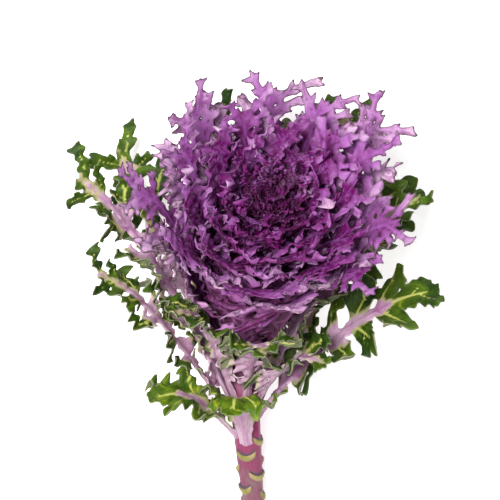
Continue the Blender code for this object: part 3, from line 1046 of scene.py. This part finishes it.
def stem_surface(settings):
    """The stem's radius with its scars, and the marks for their colours and for the painted shadow
    along their rims.
    """

    def surface(height, azimuth):
        """Radius and marks at heights and azimuths."""
        scar = np.zeros_like(height)
        rim_groove_and_shadow = np.zeros_like(height)
        rise = np.zeros_like(height)
        for index in range(SCAR_COUNT):
            turn = azimuth - SCAR_TURN + index * GOLDEN_ANGLE
            across = np.abs((turn + math.pi) % math.tau - math.pi) / SCAR_WIDTH
            rim = SCAR_FIRST + index * SCAR_PITCH + SCAR_SMILE * SCAR_TALL * across**2
            below = (rim - height) / SCAR_TALL
            wide = 1 - smooth(0.75, 1.05, across)
            pad = wide * smooth(-0.12, 0.12, below) * (1 - smooth(0.3, 1.1, below))
            # The rim line is a groove in the radius and the mark for the painted shadow above each
            # scar
            line = (1 - smooth(0.8, 1.15, across)) * np.exp(-(((below + 0.10) / 0.17) ** 2))
            bulge = wide * smooth(-0.25, 0.1, below) * (1 - smooth(0.15, 1.1, below))
            scar = np.maximum(scar, pad)
            rim_groove_and_shadow = np.maximum(rim_groove_and_shadow, line)
            rise = np.maximum(rise, bulge)
        radius = np.interp(height, STEM_HEIGHTS, STEM_RADII)
        ribs = np.sin(azimuth * 5 + height * 30) * 0.15 * MM + np.sin(azimuth * 13) * 0.05 * MM
        radius = radius + settings.scar_rise * rise - SCAR_GROOVE * rim_groove_and_shadow + ribs
        marks = {
            "mark": np.stack([scar, rim_groove_and_shadow, np.zeros_like(height)], -1),
            "grain": np.stack([height / MM, azimuth, np.zeros_like(height)], -1),
        }
        return radius, marks

    return surface


def stem_heights():
    """Ring heights of the stem, close along its bare length."""
    bare = np.arange(CUT_HEIGHT + CUT_EDGE[1], CROWN_FOOT, STEM_RING)
    crown = np.linspace(CROWN_FOOT, CROWN_TOP, CROWN_RINGS)
    return np.concatenate([[CUT_HEIGHT, CUT_HEIGHT + CUT_EDGE[0]], bare, crown])


def heart_core_surface(height, azimuth):
    """The core's radius, and marks like those of a small leaf's foot."""
    radius = np.interp(height, HEART_HEIGHTS, HEART_RADII)
    zero = np.zeros_like(height)
    marks = {
        "blade": np.stack([zero, zero, zero + 1], -1),
        "grain": np.stack([height / MM, azimuth, zero], -1),
        "mark": np.stack([zero, zero, zero], -1),
        "order": zero + 1,
    }
    return radius, marks


# Finishes


class Tone:
    """One number or colour in a finish, so that shader maths reads as Python."""

    def __init__(self, finish, socket):
        self.finish = finish
        self.socket = socket

    def maths(self, operation, first, second):
        """A Math node on two values, which may be numbers."""
        settings = {"operation": operation}
        return self.finish.node("ShaderNodeMath", settings, {0: first, 1: second})

    def __add__(self, other):
        return self.maths("ADD", self, other)

    __radd__ = __add__

    def __sub__(self, other):
        return self.maths("SUBTRACT", self, other)

    def __rsub__(self, other):
        return self.maths("SUBTRACT", other, self)

    def __mul__(self, other):
        return self.maths("MULTIPLY", self, other)

    __rmul__ = __mul__

    def __truediv__(self, other):
        return self.maths("DIVIDE", self, other)


class Finish:
    """A material that is built up from tones."""

    def __init__(self, name, roughness):
        self.material = bpy.data.materials.new(name)
        self.material.use_nodes = True
        self.tree = self.material.node_tree
        self.shader = self.tree.nodes["Principled BSDF"]
        self.shader.inputs["Roughness"].default_value = roughness
        self.shader.inputs["Specular IOR Level"].default_value = SPECULAR

    def node(self, kind, settings=None, inputs=None, output=0):
        """Any node: its settings first, then the values or links of its sockets."""
        made = self.tree.nodes.new(kind)
        for name, value in (settings or {}).items():
            if name == "stops":
                self.set_stops(made.color_ramp, value)
            else:
                setattr(made, name, value)
        for name, value in (inputs or {}).items():
            self.feed(made.inputs[name], value)
        return Tone(self, made.outputs[output])

    def set_stops(self, ramp, stops):
        """Sets a ramp's stops, each a position and a colour."""
        while len(ramp.elements) < len(stops):
            ramp.elements.new(1.0)
        for element, (position, colour) in zip(ramp.elements, stops):
            element.position = position
            element.color = (*colour, 1)

    def feed(self, socket, value):
        """Links a tone to a socket, or sets the socket to a number or a colour."""
        if isinstance(value, Tone):
            self.tree.links.new(value.socket, socket)
        elif isinstance(value, (int, float)):
            socket.default_value = value
        else:
            socket.default_value = (*value, 1)

    def attribute(self, name):
        """The three values of a mesh's mark as tones."""
        vector = self.node("ShaderNodeAttribute", {"attribute_name": name}, output=1)
        return self.split(vector)

    def split(self, vector):
        """A vector's three values as tones."""
        parts = self.node("ShaderNodeSeparateXYZ", {}, {0: vector})
        outputs = parts.socket.node.outputs
        return [Tone(self, outputs[axis]) for axis in range(3)]

    def number(self, name):
        """A mesh's single mark as a tone."""
        return self.node("ShaderNodeAttribute", {"attribute_name": name}, output=2)

    def step(self, value, low, high):
        """0 where a tone is at low, 1 at high, and soft between them, either way round."""
        settings = {"interpolation_type": "SMOOTHSTEP"}
        inputs = {"Value": value, "From Min": low, "From Max": high}
        return self.node("ShaderNodeMapRange", settings, inputs)

    def blend(self, share, first, second):
        """A colour that goes from first to second as share goes from 0 to 1."""
        settings = {"data_type": "RGBA", "clamp_factor": True}
        return self.node("ShaderNodeMix", settings, {0: share, 6: first, 7: second}, output=2)

    def noise(self, x, y, z, scale, detail=3.0):
        """Noise between about 0.3 and 0.7 at three coordinates."""
        place_at = self.node("ShaderNodeCombineXYZ", {}, {0: x, 1: y, 2: z})
        inputs = {"Vector": place_at, "Scale": scale, "Detail": detail, "Roughness": 0.6}
        return self.node("ShaderNodeTexNoise", {}, inputs)

    def blotches(self, scale, detail):
        """Noise between about 0.3 and 0.7 that is even all over the piece."""
        place_at = self.node("ShaderNodeTexCoord", output=3)
        inputs = {"Vector": place_at, "Scale": scale, "Detail": detail}
        return self.node("ShaderNodeTexNoise", {}, inputs)

    def ramp(self, value, stops):
        """The colour of a ramp at a tone."""
        return self.node("ShaderNodeValToRGB", {"stops": stops}, {0: value})

    def paint(self, colour, roughness, height, relief):
        """Feeds colour and roughness to the shader, and a bump of that relief."""
        self.feed(self.shader.inputs["Base Color"], colour)
        self.feed(self.shader.inputs["Roughness"], roughness)
        inputs = {"Height": height, "Distance": relief, "Strength": BUMP_STRENGTH}
        self.feed(self.shader.inputs["Normal"], self.node("ShaderNodeBump", {}, inputs))


def streaked(finish, grain):
    """Fine streaks that run along each lobe."""
    run, beside, seed = grain
    return finish.noise(run * 0.1, beside * 0.85, seed * 40, 1.0, 4.0)


def purple_finish(name, settings, inner_tone_and_shade, marked):
    """The rosette's blades: lavender lobes on magenta, veined, with dark tooth tips, and near-black
    painted shade deep in the head.

    The inner tone and shade value keeps a leaf magenta further out, partly as the leaf's own deep
    colour and partly as painted shade. Marked is how strongly backs, margins and tooth tips differ
    from the blade; they fade out towards the middle of the head.
    """
    finish = Finish(name, 0.5)
    along, out, edge = finish.attribute("blade")
    grain = finish.attribute("grain")
    rib, under, tip = finish.attribute("mark")
    order = finish.number("order")
    streak = streaked(finish, grain)
    mottle = finish.noise(grain[0] * 0.1, grain[1] * 0.1, grain[2] * 17, 1.0)
    # Partly painted shade: reach falls near a leaf's foot, on inner leaves, on the upper side's
    # leaves and in the heart, where the ramp runs from the leaves' own magenta down to near black
    reach = along * 0.62 + out * 0.55 + (mottle - 0.5) * 0.5 - order * 0.42 - inner_tone_and_shade
    face = finish.ramp(
        reach,
        [
            (0.20, settings.deep),
            (0.38, settings.magenta),
            (0.57, settings.violet),
            (0.82, settings.lavender),
        ],
    )
    veined = finish.blend(finish.step(streak, 0.48, 0.62) * 0.55, face, settings.magenta)
    fine = finish.step(1 - streak, 0.52, 0.66) * 0.45
    ribbed = finish.blend(fine, veined, settings.rib)
    ribbed = finish.blend(rib * (0.3 + 0.4 * marked), ribbed, settings.rib)
    back = finish.blend(0.28 + rib * 0.72, face, settings.underside)
    sided = finish.blend(under * finish.step(order, 1.4, -0.2) * marked, ribbed, back)
    rim = (1 - finish.step(edge, 0.0, 0.6)) * finish.step(order, 0.6, 0.0) * 0.8 * marked
    rimmed = finish.blend(rim, sided, settings.edge)
    tips = finish.step(tip, 0.3, 0.8) * finish.step(order, 1.1, -0.1) * 0.85 * marked
    colour = finish.blend(tips, rimmed, settings.tooth)
    relief = streak * 0.5 + mottle
    finish.paint(colour, 0.42 + mottle * 0.25, relief, 0.45 * MM)
    return finish.material


def green_finish(name, settings, green_from, bright):
    """The outer leaves: pink-lavender ribs that turn to dark green lobes."""
    finish = Finish(name, 0.5)
    along, out, edge = finish.attribute("blade")
    grain = finish.attribute("grain")
    rib, under, _ = finish.attribute("mark")
    streak = streaked(finish, grain)
    mottle = finish.noise(grain[0] * 0.12, grain[1] * 0.12, grain[2] * 23, 1.0)
    green = finish.ramp(
        mottle + streak * 0.4 - 0.2 + bright,
        [
            (0.35, settings.dark_green),
            (0.60, settings.green),
            (0.85, settings.light_green),
        ],
    )
    veined = finish.blend(finish.step(rib, 0.15, 0.8) * 0.8, green, settings.vein)
    reach = out * 1.2 + finish.step(along, 0.5, 1.0) * 0.5 + (mottle - 0.5) * 0.6
    turned = finish.step(reach, green_from, green_from + 0.2)
    blushed = finish.step(streak + rib * 0.15, 0.42, 0.8)
    pale = finish.blend(blushed, settings.rachis, settings.blush)
    face = finish.blend(turned, pale, veined)
    face = finish.blend(turned * (1 - turned) * 1.6, face, settings.vein)
    frosted = finish.blend(under * 0.2, face, settings.bloom)
    rim = (1 - finish.step(edge, 0.0, 0.35)) * (0.12 + under * 0.1)
    colour = finish.blend(rim, frosted, settings.margin)
    finish.paint(colour, 0.45 + mottle * 0.2, streak + mottle, 0.2 * MM)
    return finish.material


def stem_finish(settings):
    """The stem: pink skin, cream to yellow-green scars under grey-purple rims of painted shadow."""
    finish = Finish("stem skin", 0.42)
    scar, rim, _ = finish.attribute("mark")
    height, azimuth, _ = finish.attribute("grain")
    blotch = finish.blotches(110.0, 4.0)
    fibre = finish.noise(height * 0.12, azimuth * 6, 0.0, 1.0, 4.0)
    skin = finish.ramp(
        (height + 60) / 70 + (blotch - 0.5) * 0.9,
        [
            (0.05, settings.pale_skin),
            (0.40, settings.pink_skin),
            (0.85, settings.magenta_skin),
        ],
    )
    skin = finish.blend(finish.step(height, 4, 16) * 0.8, skin, settings.crown_skin)
    streaky = finish.blend(finish.step(fibre, 0.45, 0.7) * 0.22, skin, settings.pale_skin)
    greenish = finish.step(blotch, 0.4, 0.62)
    pad = finish.blend(greenish, settings.scar, settings.scar_green)
    in_scar = finish.step(scar + (blotch - 0.5) * 0.8, 0.25, 0.8)
    scarred = finish.blend(in_scar, streaky, pad)
    # Painted shadow: the rim colour darkens the groove above each scar, where its ledge stands out
    in_rim_shadow = finish.step(rim + (blotch - 0.5) * 1.2, 0.2, 1.0)
    colour = finish.blend(in_rim_shadow, scarred, settings.rim)
    finish.paint(colour, 0.38 + blotch * 0.2, blotch + fibre * 0.5, 0.3 * MM)
    return finish.material


def floor_finish(settings):
    """The stage's plain pale sheet."""
    finish = Finish("stage floor", 0.8)
    fleck = finish.blotches(30.0, 2.0)
    colour = finish.blend(fleck * 0.02, settings.floor_colour, FLOOR_FLECK)
    finish.feed(finish.shader.inputs["Base Color"], colour)
    finish.shader.inputs["Emission Color"].default_value = (1, 1, 1, 1)
    finish.shader.inputs["Emission Strength"].default_value = settings.floor_glow
    return finish.material


# Settings


def length_setting(name, text, value):
    """A length in metres that the user can change."""
    return bpy.props.FloatProperty(
        name=name, description=text, default=value, unit="LENGTH", subtype="DISTANCE"
    )


def colour_setting(name, text, *levels):
    """A colour that the user can change, from levels between 0 and 255."""
    return bpy.props.FloatVectorProperty(
        name=name, description=text, default=linear(*levels), subtype="COLOR", size=3, min=0, max=1
    )


class KaleLeafShape(bpy.types.PropertyGroup):
    """How a kind of leaf is ruffled."""

    blade: length_setting("Blade", "Thickness of the blade between its ribs", 0.9 * MM)
    lobe_wave: length_setting("Lobe wave", "How far lobes swing in and out in turn", 4.4 * MM)
    ruffle_depth: length_setting("Ruffle depth", "How far the margins wave", 2.6 * MM)
    ruffle_length: length_setting("Ruffle length", "Distance between two waves", 11 * MM)
    curl: length_setting("Curl", "How far the lobe ends curl inwards", 3 * MM)
    tip_curl: length_setting("Tip curl", "How far the leaf's tip curls inwards", -6 * MM)
    roll: bpy.props.FloatProperty(
        name="Roll",
        description="How far leaves at the sides roll up; each outer leaf's kind sets its own",
        default=math.radians(10),
        unit="ROTATION",
        subtype="ANGLE",
    )


class KalePurple(bpy.types.PropertyGroup):
    """Colours of the rosette's leaves."""

    # Deep is the leaves' own dark magenta, taken down to near black as painted shade deep in the
    # head
    deep: colour_setting("Deep", "Colour deep in the head", 50, 0, 38)
    magenta: colour_setting("Magenta", "Colour of the lower blade and its veins", 94, 6, 84)
    violet: colour_setting("Violet", "Colour of the middle of the blade", 142, 84, 146)
    lavender: colour_setting("Lavender", "Colour of the lobe ends", 189, 157, 184)
    rib: colour_setting("Rib", "Colour of the ribs", 154, 92, 164)
    underside: colour_setting("Underside", "Colour of the leaves' backs", 174, 106, 154)
    edge: colour_setting("Edge", "Colour of the thin margin line", 72, 30, 54)
    tooth: colour_setting("Tooth", "Colour of the tooth tips", 34, 46, 22)


class KaleGreen(bpy.types.PropertyGroup):
    """Colours of the outer leaves."""

    dark_green: colour_setting("Dark green", "Darkest part of the lobes", 26, 50, 4)
    green: colour_setting("Green", "Middle tone of the lobes", 70, 96, 12)
    light_green: colour_setting("Light green", "Lightest part of the lobes", 158, 166, 36)
    vein: colour_setting("Vein", "Colour of the lobes' veins", 190, 196, 100)
    rachis: colour_setting("Rachis", "Colour of the leaf's main rib", 190, 158, 180)
    blush: colour_setting("Blush", "Streaks along the main rib", 158, 98, 144)
    bloom: colour_setting("Bloom", "Waxy bloom on the backs", 170, 152, 146)
    margin: colour_setting("Margin", "Pale line along the margin", 208, 200, 176)


class KaleStem(bpy.types.PropertyGroup):
    """Sizes and colours of the stem."""

    scar_rise: length_setting("Scar rise", "How far a leaf scar stands out", 1.3 * MM)
    magenta_skin: colour_setting("Magenta skin", "Skin near the head", 138, 32, 88)
    crown_skin: colour_setting("Crown skin", "Skin inside the head", 134, 92, 116)
    pink_skin: colour_setting("Pink skin", "Skin down the stem", 118, 64, 84)
    pale_skin: colour_setting("Pale skin", "Skin at the cut end", 120, 96, 100)
    scar: colour_setting("Scar", "Cream of a leaf scar", 154, 138, 96)
    scar_green: colour_setting("Scar green", "Yellow-green of a leaf scar", 118, 116, 46)
    # The rim colour is painted shadow in the groove above each scar
    rim: colour_setting("Rim", "Dark rim above a scar", 72, 62, 74)


class KaleStage(bpy.types.PropertyGroup):
    """The floor, the lights and the camera."""

    floor_colour: colour_setting("Floor", "Colour of the floor", 244, 244, 244)
    floor_glow: bpy.props.FloatProperty(
        name="Floor glow", description="Light that the floor gives", default=0.5, min=0
    )
    key_power: bpy.props.FloatProperty(
        name="Key light", description="Power of the main light", default=37.0, min=0, unit="POWER"
    )
    fill_power: bpy.props.FloatProperty(
        name="Fill light", description="Power of the side light", default=7.0, min=0, unit="POWER"
    )
    camera_height: length_setting("Camera height", "Height of the camera above the head", 1.6)
    view_width: length_setting("View width", "Width of the picture at the head", 0.25)


class KaleSettings(bpy.types.PropertyGroup):
    """Everything that a user would change."""

    heart_leaves: bpy.props.IntProperty(
        name="Heart leaves", description="Small leaves in the heart", default=44, min=8, max=80
    )
    outer_shape: bpy.props.PointerProperty(type=KaleLeafShape)
    rosette_shape: bpy.props.PointerProperty(type=KaleLeafShape)
    heart_shape: bpy.props.PointerProperty(type=KaleLeafShape)
    purple: bpy.props.PointerProperty(type=KalePurple)
    green: bpy.props.PointerProperty(type=KaleGreen)
    stem: bpy.props.PointerProperty(type=KaleStem)
    stage: bpy.props.PointerProperty(type=KaleStage)


# Operators


class KALE_OT_stem(bpy.types.Operator):
    """Makes the stem with its leaf scars"""

    bl_idname = "kale.stem"
    bl_label = "Stem"

    def execute(self, context):
        settings = context.scene.kale.stem
        made = turned_grid(stem_heights(), STEM_SIDES, stem_surface(settings))
        add_piece("stem_skin", made, stem_finish(settings), STEM_KEEP, "stem", "stem")
        return {"FINISHED"}


class KALE_OT_outer_leaves(bpy.types.Operator):
    """Makes the pink-ribbed green leaves round the rosette"""

    bl_idname = "kale.outer_leaves"
    bl_label = "Outer leaves"

    def execute(self, context):
        settings = context.scene.kale
        look = settings.outer_shape
        materials = {
            name: green_finish(f"{name} outer leaf", settings.green, kind.green_from, kind.bright)
            for name, kind in OUTER_KINDS.items()
        }
        for number, row in enumerate(OUTER_ROWS, start=1):
            leaf = outer_leaf(number, row)
            kind_name = outer_kind(number, leaf)
            kind = OUTER_KINDS[kind_name]
            look.roll = math.radians(kind.roll)
            made = leaf_mesh(leaf, kind.cut, look, number)
            name = f"outer_blade_{number:02d}"
            add_piece(name, made, materials[kind_name], kind.cut.keep, "outer_leaf", leaf.name)
        return {"FINISHED"}


class KALE_OT_rosette(bpy.types.Operator):
    """Makes the purple leaves of the rosette"""

    bl_idname = "kale.rosette"
    bl_label = "Rosette"

    def execute(self, context):
        settings = context.scene.kale
        material = purple_finish(
            "rosette leaf blade", settings.purple, inner_tone_and_shade=0.0, marked=1.0
        )
        for index in range(ROSETTE_COUNT):
            leaf = rosette_leaf(index)
            made = leaf_mesh(leaf, PURPLE_CUT, settings.rosette_shape, ROSETTE_SEED + index)
            name = f"rosette_blade_{index + 1:02d}"
            add_piece(name, made, material, PURPLE_CUT.keep, "rosette_leaf", leaf.name)
        return {"FINISHED"}


class KALE_OT_heart(bpy.types.Operator):
    """Makes the dense heart: its core and the small leaves round it"""

    bl_idname = "kale.heart"
    bl_label = "Heart"

    def execute(self, context):
        settings = context.scene.kale
        # The heart's blades are darker: partly their own deep magenta, partly painted shade
        material = purple_finish(
            "heart leaf blade", settings.purple, inner_tone_and_shade=0.42, marked=0.2
        )
        count = settings.heart_leaves
        heights = np.linspace(HEART_HEIGHTS[0], HEART_HEIGHTS[-1], HEART_RINGS)
        parts = [turned_grid(heights, HEART_SIDES, heart_core_surface)]
        for index in range(count):
            leaf = heart_leaf(index, count)
            made = leaf_mesh(leaf, HEART_CUT, settings.heart_shape, HEART_SEED + index)
            parts.append(made)
        add_piece("heart_leaves", joined(parts), material, HEART_CUT.keep, "heart", "heart")
        return {"FINISHED"}


class KALE_OT_stage(bpy.types.Operator):
    """Makes the floor, the lights and the camera"""

    bl_idname = "kale.stage"
    bl_label = "Stage"

    def execute(self, context):
        settings = context.scene.kale.stage
        scene = context.scene
        bpy.ops.mesh.primitive_plane_add(size=FLOOR_SIZE, location=(0, 0, 0))
        floor = context.object
        floor.name = "stage_floor"
        floor.data.materials.append(floor_finish(settings))
        add_light("key_light", KEY_PLACE, KEY_SIZE, settings.key_power)
        add_light("fill_light", FILL_PLACE, FILL_SIZE, settings.fill_power)
        world = bpy.data.worlds.new("studio")
        world.use_nodes = True
        background = world.node_tree.nodes["Background"]
        background.inputs["Color"].default_value = (1, 1, 1, 1)
        background.inputs["Strength"].default_value = WORLD_LIGHT
        scene.world = world
        scene.view_settings.view_transform = "Standard"
        camera = bpy.data.objects.new("camera", bpy.data.cameras.new("camera"))
        scene.collection.objects.link(camera)
        x, y, z = VIEW_MIDDLE
        camera.location = (x, y, z + settings.camera_height)
        camera.data.sensor_width = SENSOR_WIDTH
        camera.data.lens = SENSOR_WIDTH * settings.camera_height / settings.view_width
        scene.camera = camera
        return {"FINISHED"}


def add_light(name, location, size, power):
    """Adds a soft square light that looks at the head."""
    lamp = bpy.data.lights.new(name, "AREA")
    lamp.size = size
    lamp.energy = power
    light = bpy.data.objects.new(name, lamp)
    bpy.context.scene.collection.objects.link(light)
    light.location = location
    aim = Vector(LIGHT_AIM) - light.location
    light.rotation_mode = "QUATERNION"
    light.rotation_quaternion = aim.to_track_quat("-Z", "Y")


class KALE_PT_panel(bpy.types.Panel):
    """Lists the kale's pieces and settings"""

    bl_label = "Purple flowering kale"
    bl_idname = "KALE_PT_panel"
    bl_space_type = "VIEW_3D"
    bl_region_type = "UI"
    bl_category = "Kale"

    def draw(self, context):
        settings = context.scene.kale
        column = self.layout.column()
        for operator in OPERATORS:
            column.operator(operator.bl_idname)
        column.prop(settings, "heart_leaves")
        groups = ("outer_shape", "rosette_shape", "heart_shape", "purple", "green", "stem", "stage")
        for name in groups:
            group = getattr(settings, name)
            box = self.layout.box()
            box.label(text=name.replace("_", " ").capitalize())
            for key in group.__annotations__:
                box.prop(group, key)


OPERATORS = (
    KALE_OT_stem,
    KALE_OT_outer_leaves,
    KALE_OT_rosette,
    KALE_OT_heart,
    KALE_OT_stage,
)
CLASSES = (
    KaleLeafShape,
    KalePurple,
    KaleGreen,
    KaleStem,
    KaleStage,
    KaleSettings,
    *OPERATORS,
    KALE_PT_panel,
)


def register():
    """Registers the classes and the scene's settings."""
    for item in CLASSES:
        bpy.utils.register_class(item)
    bpy.types.Scene.kale = bpy.props.PointerProperty(type=KaleSettings)


def unregister():
    """Takes the settings and the classes away again."""
    del bpy.types.Scene.kale
    for item in reversed(CLASSES):
        bpy.utils.unregister_class(item)


def main():
    """Builds every piece and the stage."""
    register()
    for name, value in HEART_SHAPE.items():
        setattr(bpy.context.scene.kale.heart_shape, name, value)
    bpy.ops.kale.stem()
    bpy.ops.kale.outer_leaves()
    bpy.ops.kale.rosette()
    bpy.ops.kale.heart()
    bpy.ops.kale.stage()


if __name__ == "__main__":
    main()
